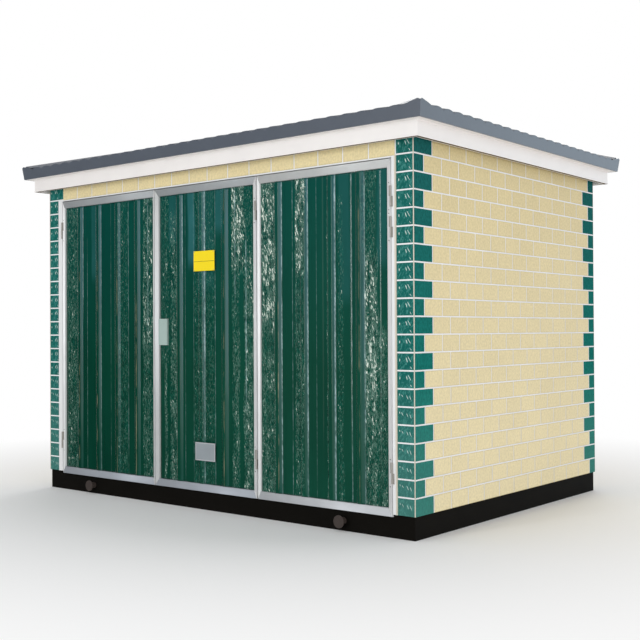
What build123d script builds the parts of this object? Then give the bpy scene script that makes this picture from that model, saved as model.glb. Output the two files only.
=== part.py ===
from build123d import *
import os
from math import atan, cos, degrees, pi, radians, sin, sqrt, tan

os.makedirs("parts", exist_ok=True)

# Enclosure: a hollow box on a steel base, +X along the door front, front faces -Y
wall_length = 3198
wall_width = 2238
wall_thickness = 60
base_height = 130
wall_height = 2020
cornice_height = 88

# Steel base of channels with the web outwards
base_inset = 8
channel_flange = 80
channel_web = 7
cross_member_count = 3
cross_member_height = 100
cross_member_flange = 50
floor_thickness = 6

# Lifting lugs: a stub of pipe with a round end disc
lug_spacing = 2212
lug_height = 57
lug_disc_radius = 36
lug_disc_thickness = 10
lug_disc_chamfer = 2
lug_pipe_radius = 20
lug_reach = 50

# Inner frame
post_size = 48
mullion_width = 60
mullion_depth = 50

# Doorway in the front wall, with a head and two jambs that are rebated behind the leaves
left_pier_width = 109
right_pier_width = 116
header_height = 161
left_jamb_face = 43
right_jamb_face = 27
head_face = 8
frame_proud = 5
frame_depth = 45
stop_depth = 14
stop_cover = 14

# Door leaves
leaf_depth = 40
lip_depth = 8
lip_drop = 14
jamb_gap = 5
head_gap = 5
floor_gap = 5
meeting_gap = 7
meeting_x = -462
mullion_x = 457
mullion_gap = 11
left_stile_face = 23
meeting_inner_face = 8
meeting_outer_face = 39
mullion_stile_face = 21
right_stile_face = 24
rail_face = 47
edge_radius = 2

# Profiled sheet of the leaves: high ribs at one pitch, with a shallow swage in each pan
panel_setback = 3
panel_thickness = 30
rib_pitch = 204
rib_height = 12
rib_foot = 62
rib_crown = 24
left_rib_offset = 160
middle_rib_offset = 186
right_rib_offset = 132
rib_edge_margin = 60
swage_height = 2
swage_foot = 88
swage_crown = 78

# Hinges, placed by the middle of each from the top or bottom of the leaf
hinge_length = 116
hinge_radius = 5
hinge_face_gap = 0.5
hinge_split_gap = 1
pin_radius = 2.6
pin_clearance = 0.3
pin_reach = 46
wing_width = 13
wing_thickness = 2.5
tongue_thickness = 2
low_hinge_rise = 237
high_hinge_drop = 206
extra_hinge_drop = 373

# Lock case beside the meeting stile, and two blank plates on the rib crowns
lock_width = 80
lock_height = 172
lock_rise = 923
lock_recess = 1.5
lock_rim = 9
plate_thickness = 1.5
sign_width = 186
sign_height = 127
sign_drop = 427
sign_offset = 8
nameplate_width = 177
nameplate_height = 115
nameplate_rise = 194
nameplate_offset = 13

# Cornice and eaves
cornice_offset = 76
cornice_sheet = 12
cornice_lip = 28
bead_height = 9
bead_proud = 3
soffit_thickness = 12
eave_offset = 129
fascia_height = 57
fascia_thickness = 10
ear_height = 92
ear_run = 112
ear_lean = 12
notch_run = 16
notch_depth = 8
sheet_seat_gap = 0.4

# Hip roof of wave profiled sheet
roof_pitch = 13
nominal_wave_pitch = 108
wave_height = 16
wave_shoulder = 0.6
wave_facets = 5
sheet_thickness = 4
hip_clearance = 12
cap_half_width = 44
cap_thickness = 3
cap_web_depth = 19
cap_joint = 1

half_length = wall_length / 2
half_width = wall_width / 2
cornice_foot = base_height + wall_height
wall_top = cornice_foot + cornice_height
floor_top = base_height + floor_thickness
inner_x = half_length - wall_thickness
inner_y = half_width - wall_thickness
frame_front = -half_width - frame_proud
frame_back = frame_front + frame_depth
leaf_back = frame_front + leaf_depth
door_left = -half_length + left_pier_width
door_right = half_length - right_pier_width
leaf_zone_left = door_left + left_jamb_face
leaf_zone_right = door_right - right_jamb_face
doorway_top = wall_top - header_height
head_bottom = doorway_top - head_face
leaf_top = head_bottom - head_gap
leaf_bottom = base_height - lip_drop
leaf_heel = floor_top + floor_gap
opening_foot = leaf_bottom + rail_face
opening_top = leaf_top - rail_face
panel_face = frame_front + panel_setback
pan_face = panel_face + rib_height
lean_angle = degrees(atan(ear_lean / ear_height))
rise = tan(radians(roof_pitch))
fascia_foot = wall_top
eave_top = fascia_foot + fascia_height
sheet_offset = eave_offset + ear_lean * fascia_height / ear_height
eave_x = half_length + sheet_offset
eave_y = half_width + sheet_offset
ridge_half = eave_x - eave_y
ridge_height = eave_top + eave_y * rise
crest = wave_height + sheet_thickness

# Outward direction, half run and half depth of each side
sides = {
    "front": (Vector(0, -1, 0), half_length, half_width),
    "back": (Vector(0, 1, 0), half_length, half_width),
    "left": (Vector(-1, 0, 0), half_width, half_length),
    "right": (Vector(1, 0, 0), half_width, half_length),
}


def save(builder, name):
    """Label a finished piece and write it to its own file."""
    builder.part.label = name
    export_step(builder.part, f"parts/{name}.step")


def block(name, low, high):
    """A plain rectangular piece between two corners."""
    size = Vector(*high) - Vector(*low)
    with BuildPart() as piece:
        with Locations(Vector(*low)):
            Box(size.X, size.Y, size.Z, align=Align.MIN)
    save(piece, name)


def plan_point(outward, run, out):
    """Plan position of a point given along and outward of one side."""
    along = Vector(0, 0, 1).cross(outward)
    spot = along * run + outward * out
    return (spot.X, spot.Y)


def mitred_side(name, side, section):
    """Run a section along one side of the box and mitre both ends at 45 degrees."""
    outward, half_run, half_depth = sides[side]
    reach = half_width / 2
    wedge = [
        plan_point(outward, -half_run - reach, half_depth + reach),
        plan_point(outward, half_run + reach, half_depth + reach),
        plan_point(outward, half_run - reach, half_depth - reach),
        plan_point(outward, -half_run + reach, half_depth - reach),
    ]
    across = Plane(origin=(0, 0, 0), x_dir=outward, z_dir=outward.cross(Vector(0, 0, 1)))
    with BuildPart() as piece:
        with BuildSketch(across):
            with BuildLine():
                Polyline([(half_depth + out, up) for out, up in section], close=True)
            make_face()
        extrude(amount=half_run + reach, both=True)
        with BuildSketch():
            with BuildLine():
                Polyline(wedge, close=True)
            make_face()
        extrude(amount=wall_top, mode=Mode.INTERSECT)
    save(piece, name)


# Base rails, one channel to a side
channel = [
    (-base_inset, 0),
    (-base_inset, base_height),
    (-base_inset - channel_flange, base_height),
    (-base_inset - channel_flange, base_height - channel_web),
    (-base_inset - channel_web, base_height - channel_web),
    (-base_inset - channel_web, channel_web),
    (-base_inset - channel_flange, channel_web),
    (-base_inset - channel_flange, 0),
]
for side in sides:
    mitred_side(f"base_{side}_rail", side, channel)

# Cross members: small channels under the floor, notched round the rails' top flanges
cross_run = wall_width - 2 * (base_inset + channel_web)
cross_spacing = wall_length / (cross_member_count + 1)
cross_middle = base_height - cross_member_height / 2
with BuildPart() as cross_members:
    with BuildSketch(Plane.XZ.offset(-cross_run / 2)):
        with Locations((0, cross_middle)):
            with GridLocations(cross_spacing, 1, cross_member_count, 1):
                Rectangle(cross_member_flange, cross_member_height)
        with Locations((channel_web, cross_middle)):
            with GridLocations(cross_spacing, 1, cross_member_count, 1):
                Rectangle(
                    cross_member_flange,
                    cross_member_height - 2 * channel_web,
                    mode=Mode.SUBTRACT,
                )
    extrude(amount=cross_run)
    with GridLocations(1, wall_width - 2 * base_inset - channel_flange, 1, 2):
        with Locations((0, 0, base_height - channel_web / 2)):
            Box(wall_length, channel_flange, channel_web, mode=Mode.SUBTRACT)
save(cross_members, "base_cross_members")

# Lifting lugs on the front and back rails
with BuildPart() as lugs:
    for facing in (-1, 1):
        for x in (-lug_spacing / 2, lug_spacing / 2):
            rail_plane = Plane(
                origin=(x, facing * (half_width - base_inset), lug_height),
                x_dir=(1, 0, 0),
                z_dir=(0, facing, 0),
            )
            with BuildSketch(rail_plane):
                Circle(lug_pipe_radius)
            extrude(amount=lug_reach)
            with BuildSketch(rail_plane.offset(lug_reach - lug_disc_thickness)):
                Circle(lug_disc_radius)
            extrude(amount=lug_disc_thickness)
    rims = lugs.edges().filter_by(
        lambda edge: edge.geom_type == GeomType.CIRCLE and edge.radius > lug_pipe_radius
    )
    chamfer(rims, length=lug_disc_chamfer)
save(lugs, "lifting_lugs")

# Floor plate inside the walls, carried forward over the front rail in the doorway
with BuildPart() as floor_plate:
    with BuildSketch(Plane.XY.offset(base_height)):
        Rectangle(2 * inner_x, 2 * inner_y)
        with Locations((door_left, -half_width + base_inset)):
            Rectangle(
                door_right - door_left,
                wall_thickness - base_inset,
                align=(Align.MIN, Align.MIN),
            )
    extrude(amount=floor_thickness)
save(floor_plate, "floor_plate")

# Walls: the side walls run full depth, the back wall and front pieces fit between them
block("left_wall", (-half_length, -half_width, base_height), (-inner_x, half_width, wall_top))
block("right_wall", (inner_x, -half_width, base_height), (half_length, half_width, wall_top))
block("back_wall", (-inner_x, inner_y, base_height), (inner_x, half_width, wall_top))
block("front_left_pier", (-inner_x, -half_width, base_height), (door_left, -inner_y, wall_top))
block("front_right_pier", (door_right, -half_width, base_height), (inner_x, -inner_y, wall_top))
block("front_header", (door_left, -half_width, doorway_top), (door_right, -inner_y, wall_top))

# Corner posts standing on the floor in the inner corners
with BuildPart() as corner_posts:
    with BuildSketch(Plane.XY.offset(floor_top)):
        with GridLocations(2 * inner_x - post_size, 2 * inner_y - post_size, 2, 2):
            Rectangle(post_size, post_size)
    extrude(amount=wall_top - floor_top)
save(corner_posts, "corner_posts")

# Mullion post behind the closed leaves
block(
    "mullion",
    (mullion_x - mullion_width / 2, frame_back, floor_top),
    (mullion_x + mullion_width / 2, frame_back + mullion_depth, doorway_top),
)

# Door head: a bar over the leaves, with a stop hanging down behind them
with BuildPart() as door_head:
    with BuildSketch(Plane(origin=(door_left, 0, 0), x_dir=(0, 1, 0), z_dir=(1, 0, 0))):
        with BuildLine():
            Polyline(
                (frame_front, doorway_top),
                (frame_front, head_bottom),
                (frame_back, head_bottom),
                (frame_back, leaf_top - stop_cover),
                (frame_back + stop_depth, leaf_top - stop_cover),
                (frame_back + stop_depth, doorway_top),
                close=True,
            )
        make_face()
    extrude(amount=door_right - door_left)
    with BuildSketch(Plane.XY.offset(floor_top)):
        with Locations((mullion_x, frame_back)):
            Rectangle(mullion_width, mullion_depth, align=(Align.CENTER, Align.MIN))
    extrude(amount=doorway_top, mode=Mode.SUBTRACT)
save(door_head, "door_head")

# Door jambs: rebated posts that stand on the base and the floor under the head
with BuildPart() as door_jambs:
    with BuildSketch(Plane.XY.offset(base_height)):
        with Locations((door_left, frame_front)):
            Rectangle(left_jamb_face, frame_depth, align=(Align.MIN, Align.MIN))
        with Locations((leaf_zone_right, frame_front)):
            Rectangle(right_jamb_face, frame_depth, align=(Align.MIN, Align.MIN))
    extrude(amount=head_bottom - base_height)
    with BuildSketch(Plane.XY.offset(floor_top)):
        stop_face = jamb_gap + stop_cover
        with Locations((door_left, frame_back)):
            Rectangle(left_jamb_face + stop_face, stop_depth, align=(Align.MIN, Align.MIN))
        with Locations((leaf_zone_right - stop_face, frame_back)):
            Rectangle(right_jamb_face + stop_face, stop_depth, align=(Align.MIN, Align.MIN))
    extrude(amount=leaf_top - stop_cover - floor_top)
    with BuildSketch(Plane.XY.offset(base_height)):
        with Locations((0, -half_width + base_inset)):
            Rectangle(wall_length, wall_thickness, align=(Align.CENTER, Align.MIN))
    extrude(amount=floor_thickness, mode=Mode.SUBTRACT)
save(door_jambs, "door_jambs")


def leaf_frame(name, left, right, left_face, right_face):
    """Four bars round a leaf, with a thin lip below that hangs in front of the base."""
    with BuildPart() as frame:
        with BuildSketch(Plane.XZ.offset(-leaf_back)):
            with Locations((left, leaf_heel)):
                Rectangle(right - left, leaf_top - leaf_heel, align=(Align.MIN, Align.MIN))
        extrude(amount=leaf_depth)
        with BuildSketch(Plane.XZ.offset(-frame_front - lip_depth)):
            with Locations((left, leaf_bottom)):
                Rectangle(right - left, leaf_heel - leaf_bottom, align=(Align.MIN, Align.MIN))
        extrude(amount=lip_depth)
        outline = frame.faces().sort_by(Axis.Y)[0].edges()
        fillet(outline, radius=edge_radius)
        with BuildSketch(Plane.XZ.offset(-leaf_back)):
            with Locations((left + left_face, opening_foot)):
                Rectangle(
                    right - left - left_face - right_face,
                    opening_top - opening_foot,
                    align=(Align.MIN, Align.MIN),
                )
        extrude(amount=leaf_depth, mode=Mode.SUBTRACT)
    save(frame, name)


def leaf_panel(name, left, right, first_rib):
    """Sandwich panel whose front sheet has high ribs and a shallow swage in each pan."""
    rib_room = right - left - first_rib - rib_foot / 2 - rib_edge_margin
    rib_count = int(rib_room / rib_pitch) + 1
    outline = [(left, panel_face + panel_thickness), (left, pan_face)]
    for number in range(rib_count):
        middle = left + first_rib + number * rib_pitch
        outline.append((middle - rib_foot / 2, pan_face))
        outline.append((middle - rib_crown / 2, panel_face))
        outline.append((middle + rib_crown / 2, panel_face))
        outline.append((middle + rib_foot / 2, pan_face))
        pan_middle = middle + rib_pitch / 2
        if number < rib_count - 1:
            outline.append((pan_middle - swage_foot / 2, pan_face))
            outline.append((pan_middle - swage_crown / 2, pan_face - swage_height))
            outline.append((pan_middle + swage_crown / 2, pan_face - swage_height))
            outline.append((pan_middle + swage_foot / 2, pan_face))
    outline += [(right, pan_face), (right, panel_face + panel_thickness)]
    with BuildPart() as panel:
        with BuildSketch(Plane.XY.offset(opening_foot)):
            with BuildLine():
                Polyline(outline, close=True)
            make_face()
        extrude(amount=opening_top - opening_foot)
    save(panel, name)


# Leaves: left and right edges, and the hinge line of each
left_leaf = (leaf_zone_left + jamb_gap, meeting_x - meeting_gap / 2)
middle_leaf = (meeting_x + meeting_gap / 2, mullion_x - mullion_gap / 2)
right_leaf = (mullion_x + mullion_gap / 2, leaf_zone_right - jamb_gap)
left_axis = leaf_zone_left + jamb_gap / 2
middle_axis = middle_leaf[1] + jamb_gap / 2
right_axis = leaf_zone_right - jamb_gap / 2
middle_pan_left = middle_leaf[0] + meeting_outer_face

leaf_frame("left_door_frame", *left_leaf, left_stile_face, meeting_inner_face)
leaf_frame("middle_door_frame", *middle_leaf, meeting_outer_face, mullion_stile_face)
leaf_frame("right_door_frame", *right_leaf, mullion_stile_face, right_stile_face)
leaf_panel(
    "left_door_panel",
    left_leaf[0] + left_stile_face,
    left_leaf[1] - meeting_inner_face,
    left_rib_offset,
)
leaf_panel(
    "middle_door_panel",
    middle_pan_left,
    middle_leaf[1] - mullion_stile_face,
    middle_rib_offset,
)
leaf_panel(
    "right_door_panel",
    right_leaf[0] + mullion_stile_face,
    right_leaf[1] - right_stile_face,
    right_rib_offset,
)

# Hinges: the upper half of each turns with its leaf, on a pin held by the lower half
hinge_y = frame_front - hinge_radius - hinge_face_gap
half_hinge = (hinge_length - hinge_split_gap) / 2
hinge_pair = (leaf_bottom + low_hinge_rise, leaf_top - high_hinge_drop)
hinge_trio = hinge_pair + (leaf_top - extra_hinge_drop,)


def moving_knuckles(name, x, heights, leaf_side):
    """Upper halves of a leaf's hinges, bored for the pins, with a wing on the leaf."""
    with BuildPart() as knuckles:
        for height in heights:
            foot = height + hinge_split_gap / 2
            with BuildSketch(Plane.XY.offset(foot)):
                with Locations((x, hinge_y)):
                    Circle(hinge_radius)
                with Locations((x + leaf_side * wing_width / 2, frame_front - wing_thickness / 2)):
                    Rectangle(wing_width, wing_thickness)
            extrude(amount=half_hinge)
            with BuildSketch(Plane.XY.offset(foot)):
                with Locations((x, hinge_y)):
                    Circle(pin_radius + pin_clearance)
            extrude(amount=pin_reach + hinge_split_gap, mode=Mode.SUBTRACT)
    save(knuckles, name)


moving_knuckles("left_door_knuckles", left_axis, hinge_pair, 1)
moving_knuckles("middle_door_knuckles", middle_axis, hinge_pair, -1)
moving_knuckles("right_door_knuckles", right_axis, hinge_trio, -1)

# Lower halves with their pins, on a wing on the jamb or a tongue back to the mullion
with BuildPart() as frame_knuckles:
    fixed_rows = (
        (left_axis, hinge_pair, -1),
        (middle_axis, hinge_pair, 0),
        (right_axis, hinge_trio, 1),
    )
    for x, heights, frame_side in fixed_rows:
        for height in heights:
            with BuildSketch(Plane.XY.offset(height - hinge_length / 2)):
                with Locations((x, hinge_y)):
                    Circle(hinge_radius)
                if frame_side:
                    wing_y = frame_front - wing_thickness / 2
                    with Locations((x + frame_side * wing_width / 2, wing_y)):
                        Rectangle(wing_width, wing_thickness)
                else:
                    reach = frame_back - hinge_y
                    with Locations((x, hinge_y)):
                        Rectangle(tongue_thickness, reach, align=(Align.CENTER, Align.MIN))
            extrude(amount=half_hinge)
            with BuildSketch(Plane.XY.offset(height - hinge_split_gap)):
                with Locations((x, hinge_y)):
                    Circle(pin_radius)
            extrude(amount=pin_reach)
save(frame_knuckles, "frame_knuckles")

# Lock case on the first pan of the middle leaf, flush with the frame, with a recessed face
lock_depth = pan_face - frame_front
with BuildPart() as lock_plate:
    with BuildSketch(Plane.XZ.offset(-pan_face)):
        with Locations((middle_pan_left, leaf_bottom + lock_rise)):
            Rectangle(lock_width, lock_height, align=(Align.MIN, Align.MIN))
    extrude(amount=lock_depth)
    with BuildSketch(Plane.XZ.offset(-frame_front)):
        with Locations((middle_pan_left + lock_rim, leaf_bottom + lock_rise + lock_rim)):
            Rectangle(
                lock_width - 2 * lock_rim,
                lock_height - 2 * lock_rim,
                align=(Align.MIN, Align.MIN),
            )
    extrude(amount=-lock_recess, mode=Mode.SUBTRACT)
save(lock_plate, "lock_plate")


def flat_plate(name, offset, bottom, width, height):
    """A thin blank plate on the rib crowns, offset from the middle of the middle leaf."""
    centre = (middle_leaf[0] + middle_leaf[1]) / 2 + offset
    with BuildPart() as plate:
        with BuildSketch(Plane.XZ.offset(-panel_face)):
            with Locations((centre, bottom)):
                Rectangle(width, height, align=(Align.CENTER, Align.MIN))
        extrude(amount=plate_thickness)
    save(plate, name)


sign_bottom = leaf_top - sign_drop - sign_height
flat_plate("sign_plate", sign_offset, sign_bottom, sign_width, sign_height)
nameplate_bottom = leaf_bottom + nameplate_rise
flat_plate("name_plate", nameplate_offset, nameplate_bottom, nameplate_width, nameplate_height)

# Cornice round the wall heads: hung board with a bead at each edge and a lip at its foot
cornice_section = [
    (cornice_offset - cornice_lip, cornice_foot),
    (cornice_offset + bead_proud, cornice_foot),
    (cornice_offset + bead_proud, cornice_foot + bead_height),
    (cornice_offset, cornice_foot + bead_height),
    (cornice_offset, wall_top - bead_height),
    (cornice_offset + bead_proud, wall_top - bead_height),
    (cornice_offset + bead_proud, wall_top),
    (cornice_offset - cornice_sheet, wall_top),
    (cornice_offset - cornice_sheet, cornice_foot + cornice_sheet),
    (cornice_offset - cornice_lip, cornice_foot + cornice_sheet),
]
for side in sides:
    mitred_side(f"cornice_{side}", side, cornice_section)

# Soffit panel: the ceiling inside and the white soffit outside
soffit_x = half_length + eave_offset - fascia_thickness
soffit_y = half_width + eave_offset - fascia_thickness
block(
    "soffit_panel",
    (-soffit_x, -soffit_y, wall_top),
    (soffit_x, soffit_y, wall_top + soffit_thickness),
)


def wave_profile(run, lift):
    """Points of a row of flat topped arches between the ears, raised by a lift."""
    span = 2 * (run - ear_run)
    count = round(span / nominal_wave_pitch)
    points = []
    for step in range(count * wave_facets + 1):
        arch = abs(sin(pi * step / wave_facets)) ** wave_shoulder
        x = (step / (count * wave_facets) - 1 / 2) * span
        points.append((x, lift + wave_height * arch))
    return points


def fascia(side):
    """Leaning fascia board, scalloped under the sheet, with ears that close the hip caps."""
    outward, half_run, half_depth = sides[side]
    foot_run = half_run + eave_offset
    apex_run = foot_run + ear_lean
    slant = 1 / cos(radians(lean_angle))
    spot = outward * (half_depth + eave_offset) + Vector(0, 0, fascia_foot)
    along = Vector(0, 0, 1).cross(outward)
    up = Vector(0, 0, cos(radians(lean_angle))) + outward * sin(radians(lean_angle))
    face = Plane(origin=spot, x_dir=along, z_dir=along.cross(up))
    foot_depth = half_depth + eave_offset
    scallops = wave_profile(half_run + sheet_offset, fascia_height - sheet_seat_gap)
    top_edge = [(x, up * slant) for x, up in reversed(scallops)]
    wedge = [
        plan_point(outward, -foot_run - ear_run, foot_depth + ear_run),
        plan_point(outward, foot_run + ear_run, foot_depth + ear_run),
        plan_point(outward, foot_run - ear_run, foot_depth - ear_run),
        plan_point(outward, -foot_run + ear_run, foot_depth - ear_run),
    ]
    with BuildPart() as board:
        with BuildSketch(face):
            with BuildLine():
                Polyline(
                    (-foot_run, 0),
                    (foot_run, 0),
                    (apex_run, (ear_height - notch_depth) * slant),
                    (apex_run - notch_run, ear_height * slant),
                    *top_edge,
                    (-apex_run + notch_run, ear_height * slant),
                    (-apex_run, (ear_height - notch_depth) * slant),
                    close=True,
                )
            make_face()
        extrude(amount=-fascia_thickness)
        with BuildSketch(Plane.XY.offset(fascia_foot)):
            with BuildLine():
                Polyline(wedge, close=True)
            make_face()
        extrude(amount=2 * ear_height, mode=Mode.INTERSECT)
    save(board, f"fascia_{side}")


for side in sides:
    fascia(side)


def roof_slope(side):
    """Wave profiled sheet on one slope, cut along the hips and round the ears in plan."""
    outward, half_run, half_depth = sides[side]
    run = half_run + sheet_offset
    out = half_depth + sheet_offset
    top_run = max(run - out, 0)
    uphill = Vector(0, 0, sin(radians(roof_pitch))) - outward * cos(radians(roof_pitch))
    along = Vector(0, 0, 1).cross(outward)
    spot = outward * out + Vector(0, 0, eave_top)
    eave = Plane(origin=spot, x_dir=along, z_dir=along.cross(Vector(0, 0, 1)))
    profile = wave_profile(run, 0) + wave_profile(run, sheet_thickness)[::-1]
    gap = hip_clearance * sqrt(2)
    half_cut = [
        (run - ear_run, out),
        (run - ear_run, out - ear_run + gap),
    ]
    if top_run > 0:
        half_cut.append((top_run - gap, hip_clearance))
    else:
        half_cut.append((0, out - run + gap))
    cut = [plan_point(outward, x, y) for x, y in half_cut]
    cut += [plan_point(outward, -x, y) for x, y in reversed(half_cut) if x > 0]
    with BuildPart() as sheet:
        with BuildSketch(eave):
            with BuildLine():
                Polyline(profile, close=True)
            make_face()
        extrude(amount=out / cos(radians(roof_pitch)) + crest, dir=uphill)
        with BuildSketch(Plane.XY.offset(fascia_foot)):
            with BuildLine():
                Polyline(cut, close=True)
            make_face()
        extrude(amount=ridge_height, mode=Mode.INTERSECT)
    save(sheet, f"roof_{side}_slope")


for side in sides:
    roof_slope(side)

# Caps: folded strips along the four hips and the ridge, resting on the wave crests
hip_fall = cap_half_width * rise / sqrt(2)
ridge_fall = cap_half_width * rise
groove_half = notch_run / sqrt(2)
apex_over_crest = ear_height - fascia_height - crest
cap_angle = pi / 8


def cap_section(fall):
    """Profile of a cap over the crest line: grooved top, feet on the crests, a web between."""
    under = apex_over_crest - cap_thickness
    half_web = cap_thickness / 2
    web_top = under - notch_depth * (1 - half_web / groove_half)
    return [
        (-cap_half_width, -fall),
        (-groove_half, under),
        (-half_web, web_top),
        (-half_web, -cap_web_depth),
        (half_web, -cap_web_depth),
        (half_web, web_top),
        (groove_half, under),
        (cap_half_width, -fall),
        (cap_half_width, cap_thickness - fall),
        (groove_half, apex_over_crest),
        (0, apex_over_crest - notch_depth),
        (-groove_half, apex_over_crest),
        (-cap_half_width, cap_thickness - fall),
    ]


def hip_cap(x_sign, y_sign):
    """One hip cap, from behind the fascias up to the middle line and the ridge cap."""
    corner = Vector(x_sign * eave_x, y_sign * eave_y, eave_top + crest)
    inward = Vector(-x_sign, -y_sign, 0) / sqrt(2)
    uphill = Vector(-x_sign, -y_sign, rise)
    across = Vector(0, 0, 1).cross(inward)
    foot = corner - uphill * cap_half_width
    section = Plane(origin=foot, x_dir=across, z_dir=across.cross(Vector(0, 0, 1)))
    edge_x = eave_x - fascia_thickness
    edge_y = eave_y - fascia_thickness
    top_x = ridge_half + cap_joint
    trim = [
        (x_sign * edge_x, y_sign * edge_y),
        (x_sign * edge_x, y_sign * cap_joint),
        (x_sign * top_x, y_sign * cap_joint),
        (x_sign * (top_x - edge_y * tan(cap_angle)), y_sign * edge_y),
    ]
    with BuildPart() as cap:
        with BuildSketch(section):
            with BuildLine():
                Polyline(cap_section(hip_fall), close=True)
            make_face()
        length = (eave_y + 2 * cap_half_width) * uphill.length
        extrude(amount=length, dir=uphill.normalized())
        with BuildSketch(Plane.XY.offset(fascia_foot)):
            with BuildLine():
                Polyline(trim, close=True)
            make_face()
        extrude(amount=ridge_height, mode=Mode.INTERSECT)
    return cap.part


caps = [hip_cap(x_sign, y_sign) for x_sign in (-1, 1) for y_sign in (-1, 1)]
with BuildPart() as hip_caps:
    for cap in caps:
        add(cap)
save(hip_caps, "hip_caps")

with BuildPart() as ridge_cap:
    with BuildSketch(Plane.YZ):
        with BuildLine():
            Polyline(
                [(y, ridge_height + crest + z) for y, z in cap_section(ridge_fall)],
                close=True,
            )
        make_face()
    extrude(amount=ridge_half, both=True)
    foot_half = ridge_half - cap_half_width * tan(cap_angle)
    with BuildSketch(Plane.XY.offset(fascia_foot)):
        with BuildLine():
            Polyline(
                (-ridge_half, 0),
                (-foot_half, cap_half_width),
                (foot_half, cap_half_width),
                (ridge_half, 0),
                (foot_half, -cap_half_width),
                (-foot_half, -cap_half_width),
                close=True,
            )
        make_face()
    extrude(amount=ridge_height, mode=Mode.INTERSECT)
save(ridge_cap, "ridge_cap")
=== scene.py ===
import math
import random
from fnmatch import fnmatch

import bpy
from mathutils import Matrix, Vector, noise


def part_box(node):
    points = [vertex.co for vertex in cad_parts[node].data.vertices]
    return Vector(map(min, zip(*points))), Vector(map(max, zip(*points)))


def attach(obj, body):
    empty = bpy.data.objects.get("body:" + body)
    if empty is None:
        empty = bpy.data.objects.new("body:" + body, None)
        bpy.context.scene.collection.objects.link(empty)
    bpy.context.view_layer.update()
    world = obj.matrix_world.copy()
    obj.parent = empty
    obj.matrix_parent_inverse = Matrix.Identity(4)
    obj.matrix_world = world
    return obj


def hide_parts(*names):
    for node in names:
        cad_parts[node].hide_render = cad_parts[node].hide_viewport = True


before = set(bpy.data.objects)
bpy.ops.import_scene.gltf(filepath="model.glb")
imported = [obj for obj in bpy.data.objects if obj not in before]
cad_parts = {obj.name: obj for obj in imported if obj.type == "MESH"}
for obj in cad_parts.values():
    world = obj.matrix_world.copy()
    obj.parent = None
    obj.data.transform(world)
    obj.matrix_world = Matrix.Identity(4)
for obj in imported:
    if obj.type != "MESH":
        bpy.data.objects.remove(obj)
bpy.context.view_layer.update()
MM = 0.001

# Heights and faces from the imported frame
WALL_LOW, WALL_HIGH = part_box("right_wall")
FACE_X, FACE_Y = WALL_HIGH.x, WALL_HIGH.y
BASE_TOP = WALL_LOW.z
CORNICE_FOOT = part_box("cornice_front")[0].z
HEAD_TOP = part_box("door_head")[1].z
PIER_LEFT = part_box("front_left_pier")[1].x
PIER_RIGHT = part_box("front_right_pier")[0].x


# Colours as they read in soft light, given in sRGB steps of 255
def srgb(red, green, blue):
    """Linear colour with full alpha from three sRGB values."""
    def linear(value):
        value /= 255
        return value / 12.92 if value <= 0.04045 else ((value + 0.055) / 1.055) ** 2.4
    return (linear(red), linear(green), linear(blue), 1.0)


# Colour sockets of the Mix node, by number because their names are also those of its numbers
MIX_FIRST, MIX_SECOND, MIX_RESULT = 6, 7, 2
# Most values of a noise node lie in this span
NOISE_SPAN = (0.3, 0.7)
mats = {}


class Nodes:
    """Short calls for the nodes of one tree."""

    def __init__(self, tree):
        self.tree = tree

    def plug(self, socket, value):
        """Link a socket, or set its number, vector or colour."""
        if isinstance(value, bpy.types.NodeSocket):
            self.tree.links.new(value, socket)
        else:
            socket.default_value = value

    def node(self, kind, sockets=None, **settings):
        """A new node with its settings and inputs."""
        made = self.tree.nodes.new("ShaderNode" + kind)
        for key, value in settings.items():
            setattr(made, key, value)
        for key, value in (sockets or {}).items():
            self.plug(made.inputs[key], value)
        return made

    def math(self, operation, first, second=0.0, third=0.0):
        return self.node("Math", {0: first, 1: second, 2: third}, operation=operation).outputs[0]

    def times(self, first, *others):
        """Product of two or more values."""
        for value in others:
            first = self.math("MULTIPLY", first, value)
        return first


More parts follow.
